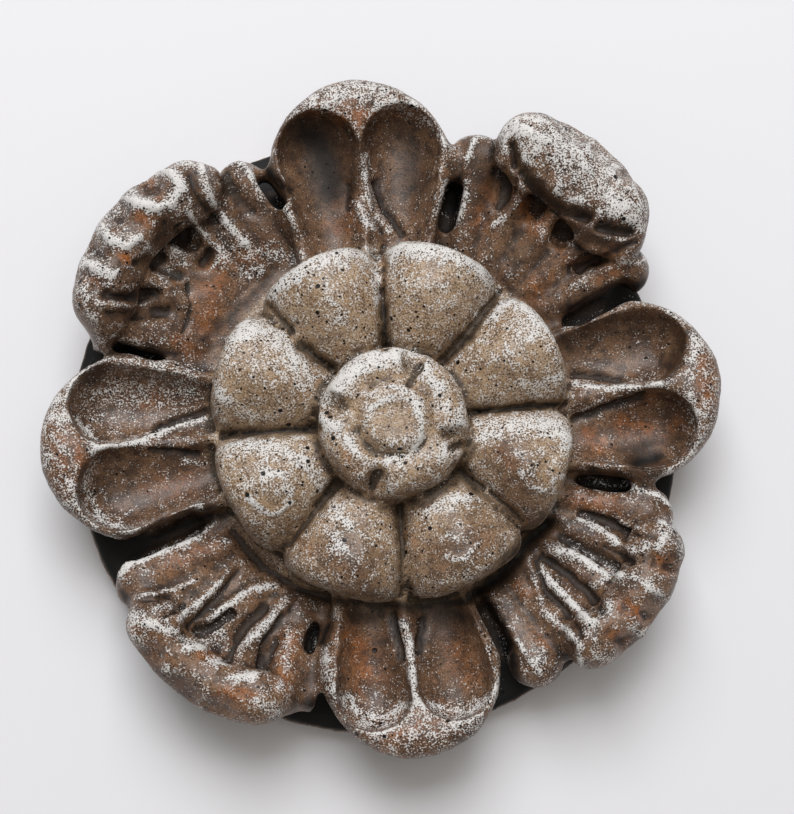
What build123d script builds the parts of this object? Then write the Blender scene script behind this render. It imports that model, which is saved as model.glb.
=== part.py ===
from build123d import *
from math import asin, atan2, cos, degrees, hypot, radians, sin
import os

# Cast wall rosette: one solid casting with a flat back.
# A ring of pillow-shaped beads and a four-lobed boss stand in the middle of eight outer petals.
# Cupped petals with a rolled tip lie on the axes, and fluted leaves with a scalloped roll on the diagonals.
# Millimetres. The origin is the middle of the flat back, +Z points out of the flower, +Y to the upper petal.

# Back flange, which shows as a dark edge in the gaps between the petals
flange_radius = 72.5
flange_thickness = 8.0
flange_corner = 2.5
flange_draft = 1.2

# Floor that rises from the flange to the flower
floor_rim_radius = 66.0
floor_height = 13.0
floor_shelf = 2.0

# Ring of beads, a little off the middle as the casting is
flower_centre = (2.6, -0.9)
flower_radius = 41.5
bead_count = 8
bead_first_angle = 22.5
bead_inner_radius = 14.0
bead_shoulder_length = 3.0
bead_inner_half_width = 7.2
bead_half_width = 14.2
bead_widest_at = 33.0
bead_top = 33.0
bead_tilt = 8.0
hub_radius = 35.0
hub_height = 20.0
root_overlap = 4.0
base_overlap = 3.0

# Boss with a raised button
boss_centre = (2.3, -2.6)
boss_radius = 17.2
boss_top = 36.5
boss_shoulder = 5.5
button_radius = 7.4
button_rise = 1.6
button_dish = 0.6
button_edge = 2.0
button_edge_radius = 2.2
button_moat = 1.4
moat_width = 1.0
notch_angles = (68.0, 161.0, 249.0, 338.0)
notch_inner_ball = 1.1
notch_outer_ball = 3.4
notch_start = 1.5
notch_lift = 0.4
notch_tilt = 17.0

# Cupped petals: angle, reach of the tip, half width
cupped_petals = (
    (1.8, 79.5, 22.0),
    (89.3, 80.5, 22.5),
    (181.8, 77.5, 22.3),
    (272.2, 77.5, 20.8),
)
petal_height = 24.5
petal_tilt = 9.0
petal_depth = 16.0
petal_undercut = 7.5
neck_drop = 4.5
neck_inset = 2.5
lip_radius = 6.0
roll_at_cups = 7.0
roll_at_rib = 11.0
side_rim = 3.2
rib_width = 1.4
rib_height = 20.5
cup_floor = 14.5
cup_root_ball = 6.0
cup_lead = 4.0
trough_rim = 2.2
trough_taper = 3.0
trough_dip = 2.0
trough_tilt = 3.0
root_half_width = 14.5

# Fluted leaves. The roll at the edge is an arc whose fields or lobes are angles about the arc's own middle.
# Each horn that ends the roll has an angle, distance, top and ball radius.
# Each fold or hollow has an angle and distance at the root, the same at the end, and a ball radius.
north_east_leaf = {
    "middle": 46.5,
    "roll_distance": 74.8,
    "roll_radius": 8.6,
    "roll_span": 24.0,
    "roll_top": 32.0,
    "horns": ((32.5, 70.5, 29.5, 6.0), (57.5, 70.5, 30.0, 6.0)),
    "fields": (-18.0, -4.0, 9.0, 21.0),
    "lobes": (-30.0, -14.0, 3.0, 22.0),
    "folds": (
        (60.0, 46.0, 65.0, 67.5, 6.6),
        (52.5, 47.0, 54.0, 67.0, 5.6),
        (44.0, 48.0, 44.5, 66.0, 5.6),
        (37.0, 50.0, 37.0, 68.0, 5.6),
        (30.5, 48.0, 27.0, 68.5, 6.4),
    ),
    "hollows": (
        (56.8, 59.0, 59.0, 66.8, 2.9),
        (49.0, 61.0, 50.0, 66.5, 3.2),
        (40.5, 61.0, 41.5, 66.5, 3.2),
        (33.5, 58.0, 32.5, 67.0, 2.2),
    ),
}
north_west_leaf = {
    "middle": 139.0,
    "roll_distance": 71.6,
    "roll_radius": 7.6,
    "roll_span": 32.0,
    "roll_top": 31.0,
    "horns": ((121.5, 68.5, 27.0, 4.6), (156.5, 67.0, 25.0, 4.6)),
    "fields": (-21.0, -4.0, 12.5, 28.0),
    "lobes": (),
    "folds": (
        (107.5, 47.0, 110.0, 61.0, 4.8),
        (115.8, 47.0, 114.8, 65.5, 6.0),
        (122.5, 47.0, 122.0, 66.0, 5.4),
        (129.0, 54.0, 128.0, 66.0, 5.0),
        (143.0, 54.0, 144.0, 66.0, 5.0),
        (151.0, 47.0, 155.0, 65.5, 7.0),
    ),
    "hollows": (
        (131.5, 60.0, 133.0, 66.0, 3.2),
        (139.0, 58.0, 140.0, 65.0, 2.6),
        (148.0, 58.0, 149.5, 65.5, 2.4),
    ),
}
south_west_leaf = {
    "middle": 230.0,
    "roll_distance": 71.4,
    "roll_radius": 6.4,
    "roll_span": 28.0,
    "roll_top": 29.0,
    "horns": ((214.5, 68.0, 25.0, 4.2), (245.5, 68.0, 25.0, 4.2)),
    "fields": (-20.0, -1.0, 15.0, 28.0),
    "lobes": (),
    "folds": (
        (214.0, 46.0, 210.0, 65.5, 7.0),
        (217.2, 54.0, 215.0, 67.0, 4.6),
        (221.5, 47.0, 221.2, 67.0, 5.6),
        (231.0, 45.0, 226.5, 66.0, 6.0),
        (238.0, 45.0, 234.5, 66.0, 6.0),
        (243.0, 46.0, 245.0, 65.0, 7.0),
    ),
    "hollows": (
        (228.5, 54.0, 225.5, 64.0, 1.8),
        (240.0, 56.0, 240.0, 64.0, 1.8),
    ),
}
south_east_leaf = {
    "middle": 319.0,
    "roll_distance": 71.4,
    "roll_radius": 6.7,
    "roll_span": 25.0,
    "roll_top": 29.5,
    "horns": ((306.5, 68.5, 25.5, 4.4), (332.0, 68.0, 26.0, 4.4)),
    "fields": (-27.0, -14.0, 1.0, 23.0),
    "lobes": (),
    "folds": (
        (299.8, 47.0, 298.0, 66.0, 6.6),
        (306.0, 50.0, 305.8, 66.0, 5.2),
        (312.2, 46.0, 310.8, 66.0, 5.8),
        (319.4, 46.0, 318.0, 66.0, 6.0),
        (327.0, 47.0, 326.0, 66.0, 5.6),
        (333.5, 47.0, 336.0, 66.0, 6.6),
    ),
    "hollows": (
        (322.8, 50.0, 322.5, 64.0, 1.8),
        (330.3, 52.0, 331.0, 65.0, 1.6),
    ),
}
roll_bend = 30.0
horn_fullness = 0.25
field_ball = 9.0
field_depth = 1.0
field_low = 22.0
field_high = 60.0
lobe_ball = 6.2
lobe_inset = 5.0
lobe_lift = 1.2
fan_spread = 22.5
leaf_height = 20.5
leaf_root_height = 13.5
leaf_foot = flower_radius + 3.0
leaf_edge = 67.5
leaf_edge_wall = 5.0
leaf_undercut = 7.0
wall_depth = 13.0
wall_inset = 11.0
wall_lean = 2.0
wall_drop = 1.0
fold_rise = 2.1
fold_root_share = 0.6
hollow_rise = 0.5
hollow_root_share = 0.7

# Slots between petals and leaves: middle x, y, direction, length, width
slots = (
    (21.5, 50.5, 72.0, 12.0, 4.0),
    (54.0, 23.4, 24.0, 18.0, 4.8),
    (51.0, -18.4, 344.0, 13.0, 2.8),
    (22.4, -49.5, 288.0, 14.0, 3.8),
    (-19.6, -48.5, 252.0, 8.0, 2.6),
    (-51.5, -22.6, 202.0, 20.0, 5.0),
    (-54.5, 20.4, 160.0, 13.0, 2.6),
    (-20.5, 56.0, 125.0, 10.0, 3.0),
)
slot_floor = flange_thickness + 1.0


def turned(angle, place=Location()):
    """A place turned about the middle of the rosette."""
    return Location((0, 0, 0), (0, 0, angle)) * place


def rounded_cone(length, near_ball, far_ball):
    """Two balls on the X axis, at 0 and at the length, with the cone that touches both."""
    lean = asin((near_ball - far_ball) / length)
    near_touch = (near_ball * sin(lean), near_ball * cos(lean))
    far_touch = (length + far_ball * sin(lean), far_ball * cos(lean))
    with BuildPart() as body:
        with BuildSketch(Plane.XY):
            with BuildLine():
                RadiusArc((-near_ball, 0), near_touch, near_ball)
                Line(near_touch, far_touch)
                RadiusArc(far_touch, (length + far_ball, 0), far_ball)
                Line((length + far_ball, 0), (-near_ball, 0))
            make_face()
        revolve(axis=Axis.X)
    return body.part


def make_ground():
    """Flange with a rounded edge, the floor that rises to the flower, and the hub below the beads."""
    with BuildPart() as ground:
        with BuildSketch(Plane.XZ):
            with BuildLine():
                Polyline(
                    (0, floor_height),
                    (0, 0),
                    (flange_radius - flange_draft, 0),
                    (flange_radius, flange_thickness - flange_corner),
                )
                RadiusArc(
                    (flange_radius, flange_thickness - flange_corner),
                    (flange_radius - flange_corner, flange_thickness),
                    -flange_corner,
                )
                Polyline(
                    (flange_radius - flange_corner, flange_thickness),
                    (floor_rim_radius, flange_thickness),
                    (flower_radius + floor_shelf, floor_height),
                    (0, floor_height),
                )
            make_face()
        revolve(axis=Axis.Z)
        with BuildSketch(Plane.XY.offset(floor_height)):
            with Locations(flower_centre):
                Circle(hub_radius)
        extrude(amount=hub_height - floor_height)
    return ground.part


def make_bead():
    """One pillow of the ring, pointing along +X: half its plan turned about its own middle line."""
    axis_height = bead_top - bead_half_width
    with BuildPart() as bead:
        with BuildSketch(Plane.XY):
            with BuildLine():
                Spline(
                    (bead_inner_radius, 0),
                    (bead_inner_radius + bead_shoulder_length, bead_inner_half_width),
                    (bead_widest_at, bead_half_width),
                    (flower_radius, 0),
                    tangents=((0, 1), (0, -1)),
                )
                Line((flower_radius, 0), (bead_inner_radius, 0))
            make_face()
        revolve(axis=Axis.X)
    pivot = Location((bead_widest_at, 0, axis_height), (0, bead_tilt, 0))
    return bead.part.moved(pivot * Location((-bead_widest_at, 0, 0)))


def make_boss():
    """Round boss with a dished top, a raised button and the notches that part its lobes."""
    shoulder_in = boss_radius - boss_shoulder
    notch_length = boss_radius - button_radius
    button_in = button_radius - button_edge
    notch = rounded_cone(notch_length, notch_inner_ball, notch_outer_ball)
    notch_place = Location((button_radius + notch_start, 0, boss_top + notch_lift), (0, notch_tilt, 0))
    with BuildPart() as boss:
        with BuildSketch(Plane.XZ):
            with BuildLine():
                Polyline(
                    (0, floor_height),
                    (boss_radius, floor_height),
                    (boss_radius, boss_top - boss_shoulder),
                )
                RadiusArc((boss_radius, boss_top - boss_shoulder), (shoulder_in, boss_top), -boss_shoulder)
                Polyline(
                    (shoulder_in, boss_top),
                    (button_radius + moat_width, boss_top - button_moat),
                    (button_radius, boss_top),
                )
                RadiusArc((button_radius, boss_top), (button_in, boss_top + button_rise), -button_edge_radius)
                Polyline(
                    (button_in, boss_top + button_rise),
                    (0, boss_top + button_rise - button_dish),
                    (0, floor_height),
                )
            make_face()
        revolve(axis=Axis.Z)
        for angle in notch_angles:
            add(notch.moved(turned(angle, notch_place)), mode=Mode.SUBTRACT)
    return boss.part


def make_petal(reach, half_width):
    """One cupped petal along +X: a tilted dish on a neck, hollowed by a trough and two cups beside a rib."""
    middle = reach - half_width
    root = hub_radius - root_overlap
    base = flange_thickness - base_overlap
    neck_half_width = half_width - neck_inset
    with BuildPart() as neck:
        with BuildSketch(Plane.XY.offset(base)):
            with BuildLine():
                Polyline(
                    (root, -root_half_width),
                    (middle, -neck_half_width),
                    (middle, neck_half_width),
                    (root, root_half_width),
                    (root, -root_half_width),
                )
            make_face()
        extrude(amount=petal_height - neck_drop - base)
    with BuildPart() as dish:
        with BuildSketch(Plane.XZ):
            with BuildLine():
                Line((0, 0), (half_width - lip_radius, 0))
                RadiusArc((half_width - lip_radius, 0), (half_width, -lip_radius), lip_radius)
                Polyline(
                    (half_width, -lip_radius),
                    (half_width - petal_undercut, -petal_depth),
                    (0, -petal_depth),
                    (0, 0),
                )
            make_face()
        revolve(axis=Axis.Z)
    cup_near = flower_radius - cup_lead
    cup_radius = (half_width - side_rim - rib_width / 2) / 2
    cup_run = reach - roll_at_cups - cup_radius - cup_near
    cup = rounded_cone(cup_run, cup_root_ball, cup_radius)
    cup_turn = degrees(atan2(cup_radius - cup_root_ball, cup_run))
    trough_radius = half_width - trough_rim
    trough_run = reach - roll_at_rib - trough_radius - cup_near
    trough = rounded_cone(trough_run, trough_radius - trough_taper, trough_radius)
    trough_place = Location((cup_near, 0, rib_height + trough_radius - trough_dip), (0, -trough_tilt, 0))
    with BuildPart() as petal:
        add(neck.part)
        add(dish.part.moved(Location((middle, 0, petal_height), (0, -petal_tilt, 0))))
        add(trough.moved(trough_place), mode=Mode.SUBTRACT)
        for side in (-1, 1):
            cup_place = Location(
                (cup_near, side * (rib_width / 2 + cup_root_ball), cup_floor + cup_root_ball),
                (0, -cup_turn, side * cup_turn),
            )
            add(cup.moved(cup_place), mode=Mode.SUBTRACT)
    return petal.part


def spot(angle, distance, height):
    """A point by its angle and distance from the middle of the rosette."""
    return (distance * cos(radians(angle)), distance * sin(radians(angle)), height)


def leaf_surface(distance):
    """Height of the fan at a distance from the middle."""
    rise = (leaf_height - leaf_root_height) / (leaf_edge - leaf_foot)
    return leaf_root_height + rise * (distance - leaf_foot)


def lying_cone(start, end, start_ball, end_ball):
    """A rounded cone laid from one point to another."""
    run = [there - here for here, there in zip(start, end)]
    turn = degrees(atan2(run[1], run[0]))
    tilt = -degrees(atan2(run[2], hypot(run[0], run[1])))
    place = Location(start, (0, 0, turn)) * Location((0, 0, 0), (0, tilt, 0))
    return rounded_cone(hypot(*run), start_ball, end_ball).moved(place)


def make_roll(roll_radius, roll_span, fields, lobes):
    """A tube bent about an upright axis at height 0, with fields in its outside and lobes on its inside."""
    with BuildPart() as bend:
        with BuildSketch(Plane.XZ):
            with Locations((roll_bend, 0)):
                Circle(roll_radius)
        revolve(axis=Axis.Z, revolution_arc=2 * roll_span)
    with BuildPart() as lobe:
        Sphere(lobe_ball)
    field_distance = roll_radius + field_ball - field_depth

    def field_spot(angle, lift):
        out = roll_bend + field_distance * cos(radians(lift))
        return spot(angle, out, field_distance * sin(radians(lift)))

    with BuildPart() as roll:
        add(bend.part.moved(turned(-roll_span)))
        for angle in lobes:
            add(lobe.part.moved(Location(spot(angle, roll_bend - lobe_inset, lobe_lift))))
        for angle in fields:
            high, low = (field_spot(angle, lift) for lift in (field_high, field_low))
            add(lying_cone(high, low, field_ball, field_ball), mode=Mode.SUBTRACT)
    return roll.part


def make_leaf(middle, roll_distance, roll_radius, roll_span, roll_top, horns, fields, lobes, folds, hollows):
    """One leaf: a sloping fan with folds and hollows, under a bent roll that overhangs it."""
    root = hub_radius - root_overlap
    base = flange_thickness - base_overlap
    bend_middle = roll_distance - roll_bend
    tube_height = roll_top - roll_radius
    bend_place = turned(middle, Location((bend_middle, 0, 0)))
    with BuildPart() as fan:
        with BuildSketch(Plane.XZ):
            with BuildLine():
                Polyline(
                    (root, base),
                    (leaf_edge - leaf_undercut, base),
                    (leaf_edge + wall_lean, leaf_height - leaf_edge_wall),
                    (leaf_edge, leaf_height),
                    (leaf_foot, leaf_root_height),
                    (root, leaf_root_height),
                    (root, base),
                )
            make_face()
        revolve(axis=Axis.Z, revolution_arc=2 * fan_spread)
    with BuildPart() as wall:
        with BuildSketch(Plane.XZ):
            Polygon(
                (leaf_edge - wall_depth - bend_middle, base),
                (roll_bend - wall_inset, base),
                (roll_bend + wall_lean, tube_height - roll_radius + wall_drop),
                (roll_bend, tube_height),
                (leaf_edge - wall_depth - bend_middle, leaf_root_height),
                align=None,
            )
        revolve(axis=Axis.Z, revolution_arc=2 * roll_span)
    roll = make_roll(roll_radius, roll_span, fields, lobes)

    def horn_cone(side, angle, distance, top, ball):
        bend_end = spot(side * roll_span, roll_bend, tube_height)
        start = tuple((bend_place * Location(bend_end)).position)
        return lying_cone(start, spot(angle, distance, top - ball), roll_radius + horn_fullness, ball)

    def fold_cone(root_angle, root_distance, end_angle, end_distance, ball):
        root_ball = fold_root_share * ball
        root_height = leaf_surface(root_distance) + fold_rise / 2 - root_ball
        end_height = leaf_surface(end_distance) + fold_rise - ball
        start = spot(root_angle, root_distance, root_height)
        return lying_cone(start, spot(end_angle, end_distance, end_height), root_ball, ball)

    def hollow_cone(root_angle, root_distance, end_angle, end_distance, ball):
        start = spot(root_angle, root_distance, leaf_surface(root_distance) + hollow_rise)
        end = spot(end_angle, end_distance, leaf_surface(end_distance) + hollow_rise)
        return lying_cone(start, end, hollow_root_share * ball, ball)

    with BuildPart() as leaf:
        add(fan.part.moved(turned(middle - fan_spread)))
        add(wall.part.moved(bend_place * turned(-roll_span)))
        for fold in folds:
            add(fold_cone(*fold))
        for hollow in hollows:
            add(hollow_cone(*hollow), mode=Mode.SUBTRACT)
        add(roll.moved(bend_place * Location((0, 0, tube_height))))
        for side, horn in zip((-1, 1), horns):
            add(horn_cone(side, *horn))
    return leaf.part


ground = make_ground()
bead = make_bead()
boss = make_boss()
petals = [make_petal(reach, half_width).moved(turned(angle)) for angle, reach, half_width in cupped_petals]
leaves = [
    make_leaf(**leaf)
    for leaf in (north_east_leaf, north_west_leaf, south_west_leaf, south_east_leaf)
]

with BuildPart() as rosette:
    add(ground)
    for number in range(bead_count):
        bead_angle = bead_first_angle + number * 360 / bead_count
        add(bead.moved(Location((*flower_centre, 0)) * turned(bead_angle)))
    add(boss.moved(Location((*boss_centre, 0))))
    for outer in petals + leaves:
        add(outer)
    for x, y, direction, length, width in slots:
        with BuildSketch(Plane.XY.offset(slot_floor)):
            with Locations((x, y)):
                SlotOverall(length, width, rotation=direction)
        extrude(amount=petal_height, mode=Mode.SUBTRACT)

rosette.part.label = "rosette"
os.makedirs("parts", exist_ok=True)
export_step(rosette.part, "parts/rosette.step")
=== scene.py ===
from math import cos, radians, sin, sqrt, tau

import bmesh
import bpy
import numpy as np
from mathutils import Matrix, Vector, noise
from mathutils.bvhtree import BVHTree


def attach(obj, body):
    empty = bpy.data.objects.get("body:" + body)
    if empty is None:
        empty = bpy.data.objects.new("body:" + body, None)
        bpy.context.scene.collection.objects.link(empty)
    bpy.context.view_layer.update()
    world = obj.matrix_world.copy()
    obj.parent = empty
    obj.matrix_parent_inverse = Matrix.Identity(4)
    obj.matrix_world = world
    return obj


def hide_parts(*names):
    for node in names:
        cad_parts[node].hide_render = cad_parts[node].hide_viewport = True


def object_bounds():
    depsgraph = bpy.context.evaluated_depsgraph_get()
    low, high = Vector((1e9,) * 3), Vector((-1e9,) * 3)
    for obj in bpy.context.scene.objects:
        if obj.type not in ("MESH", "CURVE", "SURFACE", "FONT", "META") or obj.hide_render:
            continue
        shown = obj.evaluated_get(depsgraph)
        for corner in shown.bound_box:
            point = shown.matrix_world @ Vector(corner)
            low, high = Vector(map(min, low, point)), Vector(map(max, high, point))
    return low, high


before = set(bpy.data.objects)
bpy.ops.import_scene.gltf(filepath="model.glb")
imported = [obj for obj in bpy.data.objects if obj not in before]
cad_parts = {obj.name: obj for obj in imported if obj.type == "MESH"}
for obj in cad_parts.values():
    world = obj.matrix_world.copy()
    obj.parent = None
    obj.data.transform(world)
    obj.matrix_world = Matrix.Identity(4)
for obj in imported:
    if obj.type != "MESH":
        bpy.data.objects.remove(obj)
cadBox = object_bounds()
mm = 0.001

# Tool marks and paint strokes, judged over the photograph and placed by its pixels. Each holds half
# its width in pixels, its strength, and the points of its middle line. Lowered and carved strengths are
# millimetres: lowered goes straight down, and carved goes out of the casting, or into it where it is minus.
# White is paint, and in part painted highlight; rust is paint; the black is paint in part and painted shade
# in part; all lie over the stain, and brown is where the flower's tan gives way to brown.
northWestLeaf = {
    "carved": (
        (3.5, 0.9, (202, 163), (207, 185), (216, 207), (228, 226), (246, 244)),
        (3.0, 0.7, (226, 161), (239, 159), (250, 173), (261, 195), (262, 209)),
        (3.0, 0.8, (187, 209), (195, 223), (207, 237)),
        (4.0, 1.0, (153, 171), (171, 173), (180, 185), (173, 204), (156, 208), (139, 204), (126, 199)),
        (4.5, 1.0, (104, 234), (109, 239), (127, 246), (139, 238)),
        (4.5, 0.9, (90, 265), (103, 270), (112, 274)),
        (3.5, 0.6, (98, 305), (132, 305), (166, 303)),
        (3.0, 0.5, (269, 192), (284, 207), (294, 226)),
        (5.0, -1.4, (190, 175), (197, 195), (214, 219)),
        (8.0, -1.3, (226, 175), (238, 195), (252, 211)),
        (8.0, -2.4, (183, 233), (184, 236)),
        (8.0, -1.3, (166, 226), (161, 243)),
        (7.0, -1.3, (139, 264), (161, 257)),
        (5.5, -2.4, (106, 294), (132, 298), (156, 294)),
        (6.0, -1.2, (108, 315), (137, 316), (166, 312)),
        (6.0, -2.2, (209, 252), (203, 262)),
        (8.0, -1.0, (146, 187), (158, 191)),
        (8.0, -0.9, (120, 219), (142, 222)),
        (7.0, -0.7, (92, 250), (104, 256)),
        (7.0, -0.7, (86, 283), (94, 286)),
        (20.0, 1.0, (222, 276), (206, 310)),
        (2.2, -0.8, (188, 284), (191, 310), (184, 330)),
    ),
    "white": (
        (5.5, 1.1, (150, 171), (171, 173), (180, 185), (173, 204), (156, 208), (139, 204), (122, 198)),
        (6.0, 1.1, (97, 228), (109, 239), (127, 246), (139, 238)),
        (6.0, 1.1, (82, 262), (91, 267), (103, 270), (112, 274)),
        (4.5, 0.9, (202, 163), (207, 185), (216, 207), (228, 226), (246, 244)),
        (6.0, 1.1, (168, 161), (190, 156), (204, 165)),
        (12.0, 0.5, (110, 210), (130, 180), (160, 160)),
        (10.0, 0.5, (90, 250), (88, 300)),
        (8.0, 0.6, (180, 204), (192, 228)),
        (9.0, 0.6, (218, 244), (240, 262), (256, 272)),
        (6.0, 0.6, (140, 250), (160, 248), (182, 252)),
        (7.0, 0.7, (256, 250), (300, 262)),
        (8.0, 0.5, (100, 345), (140, 350), (180, 352)),
        (2.4, 0.7, (187, 209), (195, 223), (207, 237)),
        (2.4, 0.7, (222, 163), (239, 159), (250, 173), (261, 195)),
        (3.0, 0.9, (226, 246), (232, 250)),
        (2.4, 0.9, (212, 266), (217, 262)),
        (2.4, 0.6, (80, 266), (84, 300), (98, 330)),
        (2.6, 0.6, (115, 336), (139, 344), (161, 341)),
        (2.4, 0.6, (269, 192), (284, 207), (294, 226)),
        (3.0, 0.5, (170, 268), (186, 262)),
    ),
    "rust": (
        (6.0, 1.0, (124, 255), (127, 258)),
        (7.0, 0.7, (140, 218), (152, 224)),
        (6.0, 0.5, (91, 279), (95, 284)),
        (14.0, 0.6, (216, 272), (205, 325)),
        (8.0, 0.5, (148, 186), (158, 192)),
        (9.0, 0.4, (240, 262), (262, 250)),
        (8.0, 0.5, (178, 343), (196, 352)),
    ),
    # painted shade in the holes and flutes, and a painted shadow
    "blackAndShade": (
        (5.0, 1.0, (106, 294), (132, 298), (156, 294)),
        (7.0, 0.9, (183, 233), (184, 236)),
        (8.0, 0.5, (166, 226), (161, 243)),
        (6.0, 0.9, (209, 252), (203, 262)),
        (5.0, 0.6, (139, 264), (161, 257)),
        (5.0, 0.5, (190, 175), (197, 195), (214, 219)),
        (1.6, 1.0, (127, 281), (129, 281)),
        (1.3, 1.0, (142, 279), (143, 279)),
        (6.0, 0.5, (108, 315), (137, 316), (166, 312)),
    ),
}
northEastLeaf = {
    "lowered": (
        (5.0, 3.0, (513, 144), (516, 164)),
        (6.5, 3.2, (522, 170), (540, 194), (562, 210), (588, 216)),
        (6.5, 3.0, (600, 226), (630, 231)),
        (9.0, 2.0, (536, 208), (562, 232), (590, 240), (618, 248)),
        (3.5, 1.6, (634, 241), (607, 254), (579, 269)),
    ),
    "carved": (
        (5.0, -0.8, (516, 175), (508, 200)),
        (3.5, 0.8, (523, 175), (521, 195), (509, 214), (494, 228)),
        (4.0, 0.7, (551, 216), (540, 243)),
        (4.0, 0.7, (583, 232), (571, 243)),
        (5.0, 0.9, (643, 260), (619, 264), (588, 276), (571, 291)),
        (3.0, 0.7, (475, 139), (468, 156), (466, 172)),
        (4.5, 0.7, (497, 161), (497, 185), (492, 209)),
        (5.0, 0.7, (520, 128), (545, 140)),
        (5.0, 0.7, (575, 150), (588, 168)),
        (5.0, 0.7, (612, 170), (624, 190)),
    ),
    "white": (
        (14.0, 1.0, (508, 128), (535, 137), (571, 167), (607, 191), (638, 216)),
        (12.0, 0.8, (500, 118), (545, 122), (580, 145), (614, 172), (642, 208)),
        (3.0, 0.9, (521, 152), (530, 162), (546, 165)),
        (3.0, 0.9, (557, 190), (569, 199), (590, 197)),
        (3.0, 0.9, (595, 208), (607, 218), (626, 214)),
        (3.0, 0.9, (632, 227), (643, 229), (653, 219)),
        (2.6, 0.9, (482, 135), (475, 139), (468, 156)),
        (2.4, 0.9, (439, 209), (451, 223), (463, 209), (466, 180)),
        (2.4, 0.8, (447, 182), (440, 205)),
        (2.6, 0.6, (523, 175), (521, 195), (509, 214), (494, 228)),
        (2.4, 0.6, (646, 256), (643, 262), (619, 264)),
        (3.0, 0.5, (583, 232), (571, 243)),
    ),
    "rust": (
        (13.0, 0.75, (526, 208), (538, 226)),
        (10.0, 0.6, (545, 276), (533, 296)),
        (9.0, 0.5, (488, 190), (480, 225)),
        (8.0, 0.35, (590, 262), (612, 250)),
        (7.0, 0.4, (560, 250), (570, 262)),
        (6.0, 0.4, (600, 280), (622, 268)),
    ),
    # painted shade in the slots and under the overhanging roll
    "blackAndShade": (
        (5.0, 0.9, (513, 144), (516, 164)),
        (7.0, 0.8, (524, 172), (540, 194), (562, 210), (588, 217)),
        (6.0, 0.9, (600, 226), (630, 231)),
        (3.5, 0.9, (634, 241), (607, 254), (579, 269)),
        (12.0, 0.45, (560, 226), (600, 240)),
        (14.0, 0.4, (505, 190), (518, 215)),
        (12.0, 0.4, (482, 150), (484, 200)),
        (14.0, 0.3, (560, 250), (520, 250)),
        (7.0, 0.45, (514, 246), (517, 262)),
        (7.0, 0.35, (540, 268), (548, 292)),
        (2.0, 0.9, (624, 279), (626, 279)),
        (1.6, 0.9, (580, 231), (581, 231)),
        (1.6, 0.9, (604, 214), (606, 215)),
    ),
}
southEastLeaf = {
    "carved": (
        (3.0, 0.6, (598, 484), (631, 486), (660, 496), (672, 508)),
        (3.0, 0.8, (579, 518), (598, 527), (617, 542), (631, 551)),
        (3.0, 0.7, (622, 522), (643, 534), (663, 542)),
        (5.0, 1.1, (550, 551), (574, 554), (603, 570), (620, 575)),
        (4.0, 1.0, (542, 573), (559, 592), (579, 611), (591, 623)),
        (4.0, 0.8, (535, 580), (545, 614), (567, 630), (579, 643), (580, 668)),
        (3.0, 0.7, (487, 599), (506, 623), (521, 647), (540, 674)),
        (3.0, -0.9, (581, 513), (610, 522), (631, 532), (655, 538)),
        (5.0, -1.3, (604, 548), (630, 561)),
        (4.0, -1.4, (542, 556), (567, 573), (588, 592), (602, 609)),
        (3.0, -1.2, (535, 561), (545, 590), (571, 616), (581, 638)),
        (3.0, -1.0, (567, 645), (571, 669)),
        (6.0, 0.8, (663, 522), (676, 522)),
        (6.0, 0.8, (660, 547), (674, 547)),
        (6.0, 0.9, (648, 585), (665, 596)),
        (6.0, 0.9, (631, 628), (645, 636)),
        (7.0, -0.8, (654, 563), (672, 568)),
        (7.0, -0.8, (624, 606), (648, 616)),
        (6.0, -0.7, (608, 632), (622, 642)),
    ),
    "white": (
        (2.4, 0.9, (598, 484), (631, 486), (660, 496), (672, 508)),
        (3.0, 0.8, (579, 518), (598, 527), (617, 542)),
        (2.4, 0.6, (622, 522), (643, 534), (663, 542)),
        (5.0, 0.9, (560, 553), (574, 554), (603, 570), (620, 575)),
        (4.0, 0.95, (542, 573), (559, 592), (579, 611), (591, 623)),
        (3.0, 0.7, (545, 614), (567, 630), (579, 643)),
        (2.4, 0.8, (490, 599), (506, 623), (521, 647), (540, 674)),
        (7.0, 0.6, (532, 655), (541, 670)),
        (4.0, 0.7, (579, 659), (583, 671)),
        (3.4, 1.0, (636, 551), (655, 546), (670, 532), (678, 520)),
        (3.0, 0.9, (600, 580), (622, 575), (641, 579)),
        (3.4, 0.8, (607, 608), (598, 620), (590, 630)),
        (3.0, 0.8, (596, 655), (612, 662), (630, 658)),
        (2.6, 0.9, (648, 585), (665, 599)),
        (2.6, 0.9, (631, 628), (648, 638)),
        (3.0, 0.8, (663, 522), (677, 524), (686, 540), (684, 560)),
    ),
    "rust": (
        (8.0, 0.8, (661, 561), (667, 566)),
        (9.0, 0.9, (625, 604), (636, 613)),
        (7.0, 0.7, (612, 634), (622, 640)),
        (9.0, 0.7, (576, 498), (616, 506)),
        (6.0, 0.5, (518, 586), (528, 594)),
        (7.0, 0.4, (536, 636), (546, 646)),
    ),
    # painted shade in the flutes and in the gap beside the beads
    "blackAndShade": (
        (4.0, 0.5, (581, 513), (610, 522), (631, 532), (655, 538)),
        (5.0, 0.5, (604, 548), (630, 561)),
        (5.0, 0.5, (542, 556), (567, 573), (588, 592), (602, 609)),
        (4.0, 0.5, (535, 561), (545, 590), (571, 616), (581, 638)),
        (2.4, 0.6, (567, 645), (571, 669)),
        (9.0, 0.9, (528, 545), (516, 562), (500, 582)),
        (2.6, 1.0, (615, 639), (617, 640)),
        (6.0, 0.4, (641, 646), (652, 640)),
    ),
}
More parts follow.
